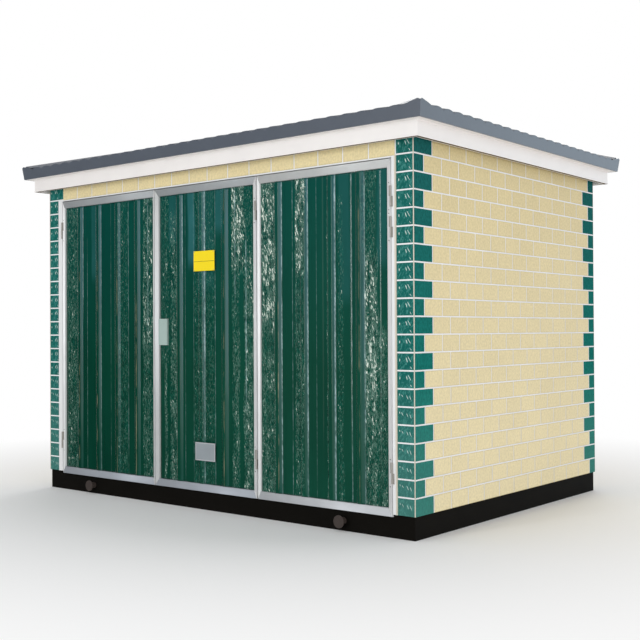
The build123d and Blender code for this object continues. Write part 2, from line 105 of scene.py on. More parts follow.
class Shader(Nodes):
    """A node material, kept in mats, with short calls for the nodes that the finishes need."""

    def __init__(self, name, color, roughness=0.5, metallic=0.0, specular=0.5):
        mats[name] = bpy.data.materials.new(name)
        mats[name].use_nodes = True
        super().__init__(mats[name].node_tree)
        self.bsdf = self.tree.nodes["Principled BSDF"]
        self.surface({"Base Color": color, "Roughness": roughness, "Metallic": metallic,
                      "Specular IOR Level": specular})
        self.place = self.node("TexCoord").outputs["Object"]

    def surface(self, sockets):
        """Link or set inputs of the material's own shader."""
        for key, value in sockets.items():
            self.plug(self.bsdf.inputs[key], value)

    def stretch(self, x, y, z):
        """Object coordinates scaled on each axis."""
        return self.node("Mapping", {"Vector": self.place, "Scale": (x, y, z)}).outputs["Vector"]

    def scaled(self, vector, x, y, z):
        """Any coordinates scaled on each axis."""
        return self.node("VectorMath", {0: vector, 1: (x, y, z)}, operation="MULTIPLY").outputs[0]

    def turned(self, vector, degrees):
        """Coordinates turned about the Y axis, so that strokes on a front lean."""
        sockets = {"Vector": vector, "Angle": math.radians(degrees)}
        return self.node("VectorRotate", sockets, rotation_type="Y_AXIS").outputs["Vector"]

    def noise(self, vector, scale, detail=3.0, rough=0.5, distortion=0.0):
        return self.node("TexNoise", {"Vector": vector, "Scale": scale, "Detail": detail,
                                      "Roughness": rough, "Distortion": distortion}).outputs["Fac"]

    def leaning(self, degrees, across, along, *settings):
        """Noise drawn out along a direction that leans."""
        place = self.scaled(self.turned(self.place, degrees), across, across, along)
        return self.noise(place, 1.0, *settings)

    def remap(self, value, low, high, to_low=0.0, to_high=1.0):
        """A value moved from one range to another, and held inside it."""
        return self.node("MapRange", {"Value": value, "From Min": low, "From Max": high,
                                      "To Min": to_low, "To Max": to_high}).outputs["Result"]

    def spread(self, noise_value, to_low, to_high):
        """A noise value moved from its usual span to another."""
        return self.remap(noise_value, *NOISE_SPAN, to_low, to_high)

    def mix(self, factor, first, second, blend="MIX"):
        made = self.node("Mix", data_type="RGBA", blend_type=blend)
        for socket, value in (("Factor", factor), (MIX_FIRST, first), (MIX_SECOND, second)):
            self.plug(made.inputs[socket], value)
        return made.outputs[MIX_RESULT]

    def shade(self, color, level):
        """A colour made darker below a level of 1, and lighter above it."""
        grey = self.node("CombineColor", {"Red": level, "Green": level, "Blue": level})
        return self.mix(1.0, color, grey.outputs["Color"], "MULTIPLY")

    def attribute(self, name):
        return self.node("Attribute", attribute_name=name).outputs["Fac"]

    def axis(self, letter):
        return self.node("SeparateXYZ", {"Vector": self.place}).outputs[letter]

    def color(self, value):
        self.surface({"Base Color": value})

    def rough_about(self, noise_value, roughness):
        """Roughness a little under and over one value, as a noise runs."""
        self.surface({"Roughness": self.spread(noise_value, roughness - 0.06, roughness + 0.08)})

    def bump(self, height, strength, distance):
        """Relief on top of what the normal already has."""
        made = self.node("Bump", {"Strength": strength, "Distance": distance, "Height": height})
        normal = self.bsdf.inputs["Normal"]
        if normal.links:
            self.plug(made.inputs["Normal"], normal.links[0].from_socket)
        self.plug(normal, made.outputs["Normal"])


def brick_finish(name, low_body, high_body, edge, roughness):
    """Embossed coated brick: painted shade high up and painted light low down, fine streaks, a
    slow drift, a tone a brick, and painted shade on the rims.
    """
    mat = Shader(name, low_body, roughness, specular=0.15)
    # Painted light and shade: paler low down, darker and more saturated high up under the eaves
    body = mat.mix(mat.remap(mat.axis("Z"), 0.2, 2.1), low_body, high_body)
    streaks = mat.noise(mat.stretch(150, 150, 16), 1.0, 3.0, 0.65)
    drift = mat.noise(mat.place, 3.0, 2.0)
    grain = mat.noise(mat.place, 420.0, 3.0, 0.65)
    emboss = mat.noise(mat.place, 75.0, 2.0, 0.6)
    level = mat.math("MULTIPLY_ADD", streaks, 0.20, 0.84)
    level = mat.math("MULTIPLY_ADD", drift, 0.08, level)
    level = mat.math("ADD", level, mat.remap(emboss, 0.35, 0.65, -0.08, 0.06))
    level = mat.math("MULTIPLY_ADD", mat.attribute("tone"), 0.018, level)
    # Painted shade: the darker edge colour on the rim of each slip
    mat.color(mat.mix(mat.attribute("rim"), mat.shade(body, level), edge))
    mat.rough_about(grain, roughness)
    mat.bump(grain, 0.22, 0.0012)
    mat.bump(streaks, 0.4, 0.0012)
    mat.bump(emboss, 0.5, 0.002)


# Painted glints on a crinkled brick: across, upright, half width and half length in mm, lean in
# degrees. The lower set serves below the split, which is in metres.
UPPER_GLINTS = ((17, 53, 2.6, 8, 0), (62, 55, 2.4, 13, 20), (79, 58, 1.7, 18, 32),
                (89, 13, 1.6, 9, 38))
LOWER_GLINTS = ((14, 62, 2.0, 6, 12), (32, 55, 1.5, 10, 34), (64, 50, 1.8, 12, 26),
                (84, 46, 1.7, 14, 22))
GLINT_SPLIT = 0.79


def quoin_finish(name, body, crinkled):
    """Glossy green brick; the crinkled sort has a painted sheen and the same small painted glints
    on every brick, the plain sort painted shade high up.
    """
    mat = Shader(name, body, 0.35, specular=0.12 if crinkled else 0.0)
    drift = mat.noise(mat.place, 6.0, 3.0)
    shaded = mat.shade(body, mat.spread(drift, 0.92, 1.08))
    if crinkled:
        local = mat.node("CombineXYZ", {"X": mat.attribute("across"),
                                        "Z": mat.attribute("upright")}).outputs[0]
        # Painted sheen: lighter teal lines along the crinkles; then the painted glints, the same
        # on every brick
        fine = mat.leaning(-24, 120, 42, 3.0, 0.6, 0.8)
        veil = mat.remap(fine, 0.49, 0.63, 0.0, 0.7)
        shaded = mat.mix(veil, shaded, srgb(70, 142, 134))
        high = mat.math("GREATER_THAN", mat.axis("Z"), GLINT_SPLIT)
        low = mat.math("SUBTRACT", 1.0, high)
        bright = mat.times(glints(mat, local, LOWER_GLINTS), low)
        bright = mat.math("MULTIPLY_ADD", glints(mat, local, UPPER_GLINTS), high, bright)
        shaded = mat.mix(mat.times(bright, 0.9), shaded, srgb(222, 236, 230))
        mat.bump(fine, 0.5, 0.002)
    else:
        # Painted shade: darker and bluer towards the top, under the eaves
        shaded = mat.mix(mat.remap(mat.axis("Z"), 0.7, 2.1), shaded, srgb(32, 95, 93))
        mottle = mat.noise(mat.stretch(80, 80, 50), 1.0, 3.0, 0.65)
        shaded = mat.shade(shaded, mat.remap(mottle, 0.34, 0.66, 0.78, 1.22))
        mat.bump(mottle, 0.5, 0.0012)
    # Paler towards the bottom
    paler_low = mat.remap(mat.axis("Z"), 0.1, 0.9, 0.34, 0.0)
    mat.color(mat.mix(paler_low, shaded, srgb(104, 150, 140)))


def glints(mat, local, spots):
    """Short leaning strokes at fixed places of every brick, with ragged edges: the mask of the
    painted glints.
    """
    ragged = mat.noise(mat.place, 160.0, 2.0)
    found = 0.0
    for across, upright, half_width, half_length, lean in spots:
        middle = (across * MM, 0, upright * MM)
        moved = mat.node("VectorMath", {0: local, 1: middle}, operation="SUBTRACT").outputs[0]
        sized = mat.scaled(mat.turned(moved, lean), 1 / (half_width * MM), 0,
                           1 / (half_length * MM))
        reach = mat.node("VectorMath", {0: sized}, operation="LENGTH").outputs["Value"]
        reach = mat.math("MULTIPLY_ADD", ragged, 1.2, reach)
        found = mat.math("MAXIMUM", found, mat.remap(reach, 1.35, 1.65, 1.0, 0.0))
    return found


def plain_paint(name, body, roughness, mottle=0.05, grain_scale=300.0, grain=0.12, specular=0.5):
    """Paint or coating with a faint mottle and a fine texture."""
    mat = Shader(name, body, roughness, specular=specular)
    drift = mat.noise(mat.place, 4.0, 4.0, 0.6)
    fine = mat.noise(mat.place, grain_scale, 3.0, 0.6)
    mat.color(mat.shade(body, mat.spread(drift, 1.0 - mottle, 1.0 + mottle)))
    mat.rough_about(fine, roughness)
    mat.bump(fine, grain, 0.0006)


def metal_bar(name, body, roughness, upright):
    """Satin metal drawn along its length."""
    mat = Shader(name, body, roughness, metallic=0.15)
    along = mat.stretch(500, 500, 6) if upright else mat.stretch(6, 500, 500)
    lines = mat.noise(along, 1.0, 3.0, 0.6)
    smudge = mat.noise(mat.place, 7.0, 4.0, 0.6)
    mat.color(mat.shade(body, mat.spread(smudge, 0.94, 1.04)))
    mat.rough_about(lines, roughness)
    mat.bump(lines, 0.08, 0.0003)


def strokes(mat, lean, across, along, amount, level):
    """Short strokes where a stretched noise runs high, masks for painted highlights; amount and
    level set how many.
    """
    field = mat.leaning(lean, across, along, 2.0, 0.5, 0.6)
    raised = mat.math("MULTIPLY_ADD", amount, 0.2, field)
    return mat.remap(raised, level, level + 0.04), field


def creases(mat, lean, across, along, amount, half_width):
    """Thin winding lines where a stretched noise crosses its middle value, a mask for painted
    highlights.
    """
    field = mat.leaning(lean, across, along, 3.0, 0.6, 0.8)
    away = mat.math("ABSOLUTE", mat.math("SUBTRACT", field, 0.5))
    inside = mat.math("MULTIPLY_ADD", amount, half_width, mat.times(away, -1.0))
    return mat.remap(inside, 0.0, half_width / 2)


def door_finish():
    """Dark green gloss sheet under film: crinkled bands with painted highlights, bluish painted
    reflections on the flanks and pale painted highlight lines.
    """
    mat = Shader("door_green", srgb(14, 64, 50), 0.13, specular=0.2)
    film = mat.attribute("film")
    height = mat.axis("Z")

    # Bare sheet: greener to the right and bluer high up, with patches of painted sheen and painted
    # reflections on the rib flanks
    across = mat.remap(mat.axis("X"), -1.2, 1.0)
    shaded = mat.mix(across, srgb(7, 57, 43), srgb(19, 69, 54))
    drift = mat.noise(mat.stretch(5, 5, 1.2), 1.0, 3.0)
    shaded = mat.shade(shaded, mat.spread(drift, 0.86, 1.14))
    shaded = mat.mix(mat.remap(height, 0.9, 2.1, 0.0, 0.55), shaded, srgb(10, 76, 72))
    patch = mat.noise(mat.stretch(9, 9, 4), 1.0, 2.0)
    sheen = mat.times(mat.attribute("sheen"), mat.spread(patch, 0.6, 1.0))
    shaded = mat.mix(sheen, shaded, srgb(54, 112, 116))
    # Painted reflection: bluish tint on the right hand flanks of the ribs
    flank = mat.times(mat.attribute("flank"), mat.spread(patch, 0.45, 0.85))
    flank_reflection = mat.mix(mat.remap(height, 0.5, 1.7), srgb(46, 88, 80), srgb(44, 94, 104))
    shaded = mat.mix(flank, shaded, flank_reflection)

    # Film, from below: dark gaps, haze, then small strokes, winding creases and bright strokes,
    # all three painted highlights of the crinkles
    gather = mat.noise(mat.stretch(26, 26, 9), 1.0, 2.0)
    amount = mat.times(film, mat.remap(gather, 0.38, 0.56, 0.35, 1.0))
    shown = mat.remap(film, 0.03, 0.2)
    bright, field = strokes(mat, 12, 150, 36, amount, 0.76)
    small, small_field = strokes(mat, -10, 210, 56, amount, 0.62)
    winding = creases(mat, 9, 70, 20, amount, 0.045)
    low_share = mat.remap(height, 0.9, 1.4, 0.46, 0.1)
    layers = (
        (mat.times(film, mat.remap(field, 0.42, 0.56, 0.75, 0.0)), srgb(6, 48, 42)),
        (mat.times(shown, mat.remap(field, 0.50, 0.66, 0.0, 0.5)), srgb(26, 98, 84)),
        (mat.times(small, 0.36, shown), srgb(112, 152, 136)),
        (mat.times(winding, low_share, shown), srgb(150, 180, 166)),
        (mat.times(bright, 0.95, shown), srgb(226, 234, 222)))
    for share, tint in layers:
        shaded = mat.mix(share, shaded, tint)

    # Painted highlight lines, broken along their length, and warm lines beside the ribs
    run = mat.noise(mat.stretch(30, 30, 7), 1.0, 4.0, 0.7)
    pale = mat.times(mat.attribute("line"), mat.remap(run, 0.36, 0.62, 0.10, 0.9),
                     mat.remap(field, 0.40, 0.60, 0.35, 1.0))
    shaded = mat.mix(pale, shaded, srgb(170, 196, 200))
    warm = mat.times(mat.attribute("warm"), mat.remap(run, 0.46, 0.70, 0.0, 0.8))
    mat.color(mat.mix(warm, shaded, srgb(158, 150, 124)))
    mat.bump(mat.times(shown, field), 0.3, 0.003)
    mat.bump(mat.times(shown, small_field), 0.25, 0.0015)
    mat.surface({"Roughness": mat.math("MULTIPLY_ADD", film, 0.10, 0.12),
                 "Coat Weight": 0.08, "Coat Roughness": 0.06})


# Paints: sRGB colour, roughness, then mottle, grain scale, grain and specular where they differ
PAINTS = {
    "mortar_white": ((232, 231, 232), 0.6),
    "corner_trim": ((206, 198, 182), 0.5),
    "base_black": ((15, 13, 10), 0.7, 0.16, 220.0, 0.3, 0.05),
    "lug_steel": ((62, 53, 49), 0.6, 0.3, 160.0, 0.5, 0.3),
    "floor_steel": ((104, 106, 108), 0.55),
    "inner_paint": ((206, 208, 208), 0.5),
    "trim_white": ((236, 231, 228), 0.4, 0.02, 240.0, 0.06),
    "roof_grey": ((84, 90, 100), 0.36, 0.04, 260.0, 0.05),
    "jamb_white": ((228, 228, 228), 0.38, 0.02, 240.0, 0.06),
    "lock_grey": ((164, 182, 176), 0.42, 0.03),
    "sign_yellow": ((246, 218, 14), 0.35, 0.02),
    "sign_line": ((46, 44, 30), 0.5),
    "dark_gap": ((40, 40, 40), 0.7),
    # Painted shadow: the brown strips under the cornice lip stand for its shaded underside
    "painted_shadow_brown": ((98, 80, 54), 0.8, 0.05, 300.0, 0.12, 0.1),
}
# Metals: sRGB colour, roughness, and whether they are drawn upright
METALS = {
    # Stiles and rails: lit and shaded copies of one aluminium, differing only by painted light and
    # shade; the head rails darker for the shade under the eaves
    "stile_silver": ((208, 209, 209), 0.42, True),
    "stile_painted_light": ((240, 240, 240), 0.42, True),
    "head_rail": ((163, 166, 168), 0.46, False),
    "head_rail_painted_light": ((197, 198, 197), 0.46, False),
    "foot_rail": ((188, 190, 194), 0.46, False),
    "foot_rail_painted_shade": ((160, 165, 173), 0.46, False),
    "hinge_steel": ((158, 154, 148), 0.4, True),
    "plate_silver": ((156, 163, 168), 0.4, False),
}
# Side cream bricks: painted light low down and painted shade high up; the front row is even
brick_finish("cream_brick", srgb(237, 223, 182), srgb(220, 202, 152), srgb(196, 176, 118), 0.48)
brick_finish("cream_front", srgb(230, 213, 166), srgb(230, 213, 166), srgb(198, 176, 112), 0.48)
quoin_finish("quoin_front", srgb(7, 93, 86), True)
quoin_finish("quoin_side", srgb(26, 116, 107), False)
door_finish()
for name, (body, *finish) in PAINTS.items():
    plain_paint(name, srgb(*body), *finish)
for name, (body, *finish) in METALS.items():
    metal_bar(name, srgb(*body), *finish)


# Finishes of the CAD nodes, each with the patterns of their names
FINISHES = {
    "base_black": "base_*", "lug_steel": "lifting_lugs", "floor_steel": "floor_plate",
    "trim_white": "cornice_* soffit_panel", "roof_grey": "fascia_* roof_* hip_caps ridge_cap",
    "mortar_white": "*_wall front_*", "inner_paint": "corner_posts mullion",
    "jamb_white": "door_*", "stile_silver": "*_door_frame", "door_green": "*_door_panel",
    "hinge_steel": "*knuckles", "lock_grey": "lock_plate", "sign_yellow": "sign_plate",
    "plate_silver": "name_plate",
}
for node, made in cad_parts.items():
    key = next(key for key, patterns in FINISHES.items()
               if any(fnmatch(node, pattern) for pattern in patterns.split()))
    made.data.materials.clear()
    made.data.materials.append(mats[key])


def add_object(name, data):
    made = bpy.data.objects.new(name, data)
    bpy.context.scene.collection.objects.link(made)
    return made


def make_piece(name, points, faces, keys, body, smooth=None, indices=None):
    """A mesh object riding on a body; smooth and indices hold one value for each face."""
    mesh = bpy.data.meshes.new(name)
    mesh.from_pydata([tuple(p) for p in points], [], faces)
    for key in keys:
        mesh.materials.append(mats[key])
    if indices:
        mesh.polygons.foreach_set("material_index", indices)
    mesh.polygons.foreach_set("use_smooth", smooth or [False] * len(faces))
    mesh.update()
    made = add_object(name, mesh)
    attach(made, body)
    return made


def ring_faces(first, rings, count):
    """Faces between rings of points that follow each other, and the face that closes the last."""
    last = first + count * (rings - 1)
    return [(a + k, a + (k + 1) % count, a + count + (k + 1) % count, a + count + k)
            for a in range(first, last, count) for k in range(count)] + [
                tuple(range(last, last + count))]


def band_faces(last):
    """Faces of a band, four points a place: every fourth is its top, the last two its ends."""
    faces = []
    for a in range(0, last, 4):
        b = a + 4
        faces += [(a + 1, b + 1, b + 3, a + 3), (a, a + 2, b + 2, b), (a, b, b + 1, a + 1),
                  (a + 2, a + 3, b + 3, b + 2)]
    return faces + [(0, 1, 3, 2), (last, last + 2, last + 3, last + 1)]


def point_values(made, values):
    """Store named lists of numbers, one number for each point of a mesh."""
    for name, numbers in values.items():
        layer = made.data.attributes.new(name, "FLOAT", "POINT")
        layer.data.foreach_set("value", numbers)


# Brick slips: each a thin block with a rounded rim, on a wall plane of its own
COURSE, BRICK_PITCH, JOINT = 97.55 * MM, 180.0 * MM, 8.5 * MM
SLIP_PROUD, RIM, BED = 1.0 * MM, 1.6 * MM, -0.5 * MM


class BrickWall:
    """Collects the slips of one wall; out is its outward direction and along runs to the right."""

    def __init__(self, name, origin, along, out):
        self.name, self.origin, self.along, self.out = name, origin, along, out
        self.points, self.faces = [], []
        self.values = {"tone": [], "rim": [], "across": [], "upright": []}
        self.random = random.Random(name)

    def add(self, left, right, low, high):
        tone = self.random.uniform(-1, 1)
        first = len(self.points)
        # Rings from the wall outward: inset, height over the wall, and how much painted shade the
        # rim takes
        rings = ((0.0, BED, 1.0), (0.0, SLIP_PROUD - RIM / 3, 1.0), (RIM / 3, SLIP_PROUD, 0.6),
                 (RIM * 3, SLIP_PROUD, 0.0))
        for inset, proud, rim in rings:
            corners = ((left + inset, low + inset), (right - inset, low + inset),
                       (right - inset, high - inset), (left + inset, high - inset))
            for run, height in corners:
                place = self.origin + self.along * run + self.out * proud
                self.points.append((place.x, place.y, height))
                spot = (tone, rim, run - left, height - low)
                for numbers, value in zip(self.values.values(), spot):
                    numbers.append(value)
        self.faces += ring_faces(first, len(rings), 4)

    def finish(self, key, slot, suffix):
        made = make_piece(self.name + suffix, self.points, self.faces, [key], "housing")
        point_values(made, self.values)


# Course heights from the base up; the last runs up behind the cornice
FULL_COURSES = 20
courses = [(BASE_TOP + row * COURSE + JOINT / 2 * (row > 0),
            BASE_TOP + (row + 1) * COURSE - JOINT / 2) for row in range(FULL_COURSES + 1)]

CORNER_TRIM = 5 * MM
LONG_NEAR, SHORT_NEAR = 176 * MM, 93 * MM
LONG_FAR, SHORT_FAR = 168 * MM, 82 * MM


def cream_row(wall, start, stop, low, high):
    """Whole cream bricks between two quoins, with even joints."""
    room = stop - start + JOINT
    count = round(room / BRICK_PITCH)
    for k in range(count):
        left = start + room * k / count
        wall.add(left, left + room / count - JOINT, low, high)


# Directions of each side, as seen from outside: along to the right, and outward
X, Y = Vector((1, 0, 0)), Vector((0, 1, 0))
SIDES = {"front": (X, -Y), "right": (Y, X), "back": (-X, Y), "left": (-Y, -X)}
LONG_SIDES = ("front", "back")


def side_wall(side):
    """A whole side: green quoins at both ends, long and short in turn, cream between."""
    along, out = SIDES[side]
    half, depth = (FACE_X, FACE_Y) if side in LONG_SIDES else (FACE_Y, FACE_X)
    origin, run = out * depth - along * half, 2 * half
    cream, green = BrickWall(side, origin, along, out), BrickWall(side, origin, along, out)
    for row, (low, high) in enumerate(courses):
        odd = row % 2
        near = SHORT_NEAR if odd else LONG_NEAR
        far = LONG_FAR if odd else SHORT_FAR
        green.add(0, near, low, high)
        green.add(run - far, run, low, high)
        cream_row(cream, near + JOINT, run - far - JOINT, low, high)
    cream.finish("cream_brick", "cream_brick", "_wall_bricks")
    green.finish("quoin_side", "quoin_green", "_quoins")


for side in ("right", "left", "back"):
    side_wall(side)

# Front: narrow quoin columns beside the doorway and one cut row of cream over it
front_cream, front_green = (BrickWall("front", -Y * FACE_Y, X, -Y) for _ in range(2))
LEFT_TOP_GREEN, RIGHT_TOP_GREEN = 159 * MM, 114 * MM
JAMB_JOINT, JAMB_STRIP, DOOR_GAP = 3 * MM, 8 * MM, 1 * MM
for low, high in courses[:-1]:
    front_green.add(-FACE_X + CORNER_TRIM, PIER_LEFT - DOOR_GAP, low, high)
    front_green.add(PIER_RIGHT + JAMB_JOINT, FACE_X - CORNER_TRIM, low, high)
low, high = courses[-1]
front_green.add(-FACE_X + CORNER_TRIM, -FACE_X + LEFT_TOP_GREEN, low, high)
front_green.add(FACE_X - RIGHT_TOP_GREEN, FACE_X - CORNER_TRIM, low, high)

# The cut row from the right: the pitch and the number of its two runs of bricks
HEADER_RUNS = ((181 * MM, 8), (163.9 * MM, 9))
edge = FACE_X - RIGHT_TOP_GREEN
for pitch, count in HEADER_RUNS:
    for _ in range(count):
        front_cream.add(edge - pitch, edge - JOINT, HEAD_TOP + DOOR_GAP, high)
        edge -= pitch
front_cream.finish("cream_front", "cream_brick", "_wall_bricks")
front_green.finish("quoin_front", "quoin_green", "_quoins")

# Door leaves: ribbed sheet under crinkled film, in a mitred frame of drawn bars
PAN_FACE = -1109 * MM
RIB_HEIGHT = 12 * MM
RIB_FOOT, RIB_CROWN = 62 * MM, 24 * MM
SWAGE_HEIGHT, SWAGE_FOOT, SWAGE_CROWN = 2 * MM, 88 * MM, 78 * MM
RIB_PITCH = 204 * MM
BEND = 3 * MM
COLUMN_STEP, BEND_STEP, ROW_STEP = 4 * MM, 1.6 * MM, 11 * MM
RAIL_FACE = 47 * MM

# Each leaf, in mm: widths of its stiles, its bars (left, right, head, foot) as lit and shaded
# copies of one aluminium, painted light and shade, and its first rib with the number of ribs.
# Film bands and painted sheens: left, right, low, high, strength. Painted highlight lines and
# warm lines: middle, half width, low, high, strength.
LEAVES = {
    "left": {
        "stiles": (23, 8),
        "bars": ("stile_painted_light", "stile_painted_light", "head_rail", "foot_rail_painted_shade"),
        "ribs": (-1259, 4), "sheen": [(-1130, -1070, 1500, 2100, 0.3)],
        "film": [(-1405, -1268, 100, 2100, 0.45), (-840, -740, 100, 2100, 0.2),
                 (-592, -486, 1000, 2100, 0.75), (-592, -486, 100, 1100, 0.4)],
        "lines": [(-1226, 3, 1300, 2100, 0.7), (-1178, 2, 100, 1700, 0.4),
                  (-1026, 2, 100, 2100, 0.3), (-921, 2, 100, 2100, 0.25),
                  (-737, 2, 100, 2100, 0.5), (-540, 3, 1100, 2050, 0.6)],
        "warm": [(-1256, 3, 100, 1650, 0.9), (-1058, 3, 100, 1650, 0.8),
                 (-846, 3, 100, 1700, 0.8), (-648, 4, 100, 1600, 0.9)]},
    "middle": {
        "stiles": (39, 21),
        "bars": ("stile_silver", "stile_painted_light", "head_rail", "foot_rail_painted_shade"),
        "ribs": (-233.5, 3),
        "sheen": [(-158, -96, 1560, 2100, 0.75), (100, 176, 1760, 2100, 0.5),
                  (-330, -262, 1700, 2100, 0.35), (-60, 80, 1400, 2100, 0.2)],
        "film": [(-372, -350, 100, 2100, 0.6), (-320, -252, 100, 1900, 0.55),
                 (-415, -330, 900, 2100, 0.25), (-100, 90, 100, 2100, 0.2),
                 (232, 345, 1500, 2100, 1.0), (240, 300, 100, 1560, 0.45),
                 (335, 420, 100, 1640, 0.65), (345, 420, 1500, 2100, 0.35)],
        "lines": [(-206, 3, 1500, 2100, 0.6), (-181, 2, 100, 2100, 0.3),
                  (-102, 2, 100, 2100, 0.3), (-1, 3.5, 950, 2100, 1.0), (-1, 3, 100, 1000, 0.45),
                  (92, 2, 100, 2100, 0.5), (265, 3, 1350, 2050, 0.8), (356, 3, 700, 1700, 0.8)],
        "warm": [(-250, 3, 100, 1500, 0.5), (176, 4, 100, 1900, 0.7)]},
    "right": {
        "stiles": (21, 24),
        "bars": ("stile_painted_light", "stile_painted_light", "head_rail_painted_light", "foot_rail"),
        "ribs": (615.5, 4),
        "sheen": [(1080, 1160, 1300, 2100, 0.25), (1352, 1418, 1500, 2100, 0.35)],
        "film": [(484, 606, 1150, 2100, 1.0), (484, 606, 100, 1250, 0.5),
                 (752, 826, 1450, 2100, 1.0), (752, 826, 100, 1550, 0.4),
                 (994, 1002, 100, 2100, 0.9), (1066, 1110, 100, 1900, 0.25),
                 (1245, 1340, 1450, 2100, 0.35), (1262, 1352, 650, 1560, 1.0),
                 (1262, 1352, 100, 720, 0.6), (1352, 1418, 100, 1150, 0.55)],
        "lines": [(648, 3, 100, 2100, 0.8), (733, 2, 100, 2100, 0.5), (849, 3, 100, 2100, 0.8),
                  (915, 1.5, 100, 2100, 0.3), (1052, 3.5, 100, 2100, 1.0),
                  (1171, 2.5, 100, 2100, 0.6), (1262, 3, 100, 2100, 0.7)],
        "warm": [(627, 3, 100, 1500, 0.7), (1229, 4, 100, 1900, 0.5)]},
}


def trapezoid(offset, foot, crown, height):
    """Height of a trapezoid fold at a distance from its middle."""
    fall = (foot - crown) / 2
    return height * min(max((foot / 2 - abs(offset)) / fall, 0), 1)


def sheet_relief(x, ribs):
    """Outward height of the folded sheet at x, with the bends rounded off."""
    folds = [(rib, RIB_FOOT, RIB_CROWN, RIB_HEIGHT) for rib in ribs]
    folds += [(rib + RIB_PITCH / 2, SWAGE_FOOT, SWAGE_CROWN, SWAGE_HEIGHT)
              for rib in (ribs[0] - RIB_PITCH, *ribs)]
    spots = (x - BEND, x - BEND / 3, x + BEND / 3, x + BEND)
    return sum(trapezoid(spot - middle, *shape)
               for spot in spots for middle, *shape in folds) / len(spots)


def column_places(left, right, ribs, lines):
    """Places of the mesh columns: close together at the bends and lines, wider on the flats."""
    bends = list(lines)
    for rib in ribs:
        bends += [rib + side * width / 2 for side in (-1, 1) for width in (RIB_FOOT, RIB_CROWN)]
    places = [left]
    while places[-1] < right - BEND_STEP:
        near = any(abs(places[-1] - bend) < 2 * BEND for bend in bends)
        places.append(places[-1] + (BEND_STEP if near else COLUMN_STEP))
    places[-1] = right
    return places


def ramp(value, low, high):
    """Smooth step from 0 to 1."""
    t = min(max((value - low) / (high - low), 0), 1)
    return t * t * (3 - 2 * t)


def window(value, low, high, outside, inside):
    """Full between two places, with smooth edges that reach outside and inside them."""
    width = outside + inside
    return ramp(value - low + outside, 0, width) * ramp(high + outside - value, 0, width)


PLATE_BOXES = [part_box(name) for name in ("sign_plate", "name_plate", "lock_plate")]
PLATE_MARGIN = 4 * MM
# Soft edges in mm, outside and inside: a band's sides, its ends and a line's ends
BAND_SIDES, BAND_ENDS, LINE_ENDS = (8, 10), (60, 60), (150, 150)
EDGE_WANDER, LINE_BLUR = 14, 1.2


def film_weight(x, z, bands):
    """How strongly bands of film or painted sheen show: their edges wander, and the plates are
    bare.
    """
    for low, high in PLATE_BOXES:
        if low.x - PLATE_MARGIN < x < high.x + PLATE_MARGIN:
            if low.z - PLATE_MARGIN < z < high.z + PLATE_MARGIN:
                return 0
    wander = EDGE_WANDER * noise.noise(Vector((x * 4, 3.1, z * 5)))
    strength = 0
    for left, right, low, high, weight in bands:
        across = window(x / MM + wander, left, right, *BAND_SIDES)
        strength = max(strength, weight * across * window(z / MM, low, high, *BAND_ENDS))
    return strength


def line_weight(x, z, lines):
    """How strongly the painted highlight lines, or the warm lines, show at a place."""
    strength = 0
    for middle, half, low, high, weight in lines:
        across = max(1 - abs(x / MM - middle) / (half + LINE_BLUR), 0)
        upright = window(z / MM, low, high, *LINE_ENDS)
        strength = max(strength, weight * min(2 * across, 1) * upright)
    return strength


# The lit part of a rib's flank, in mm from the middle of the rib, and the width of its edges
FLANK_INNER, FLANK_OUTER, FLANK_EDGE = 12, 30, 3


def flank_weight(x, ribs):
    """How strongly the painted reflection on the right hand flank of a rib shows: more towards its
    foot.
    """
    strength = 0
    for rib in ribs:
        offset = (x - rib) / MM
        rise = min(max((offset - FLANK_INNER) / (FLANK_OUTER - FLANK_INNER), 0), 1)
        inner = ramp(offset, FLANK_INNER, FLANK_INNER + FLANK_EDGE)
        outer = ramp(FLANK_OUTER + FLANK_EDGE / 2 - offset, 0, FLANK_EDGE)
        strength = max(strength, (0.25 + 0.75 * rise) * inner * outer)
    return strength


# Film folds: their height, how many a metre across and along, their slant and full noise value
FILM_LIFT = 0.6 * MM
FOLDS_ACROSS, FOLDS_ALONG, FOLD_SLANT, FOLD_FULL = 62, 21, 0.25, 2.2


def film_relief(x, z, seed):
    """Folds of the film: steep creases, upright and a little slanted."""
    slant = FOLD_SLANT * noise.noise(Vector((x * 3, seed, z * 1.5)))
    place = Vector(((x + slant * z) * FOLDS_ACROSS, seed, z * FOLDS_ALONG))
    folds = noise.ridged_multi_fractal(place, 0.9, 2.1, 3, 0.9, 2.0)
    return FILM_LIFT * min(max(folds / FOLD_FULL, 0), 1.2)


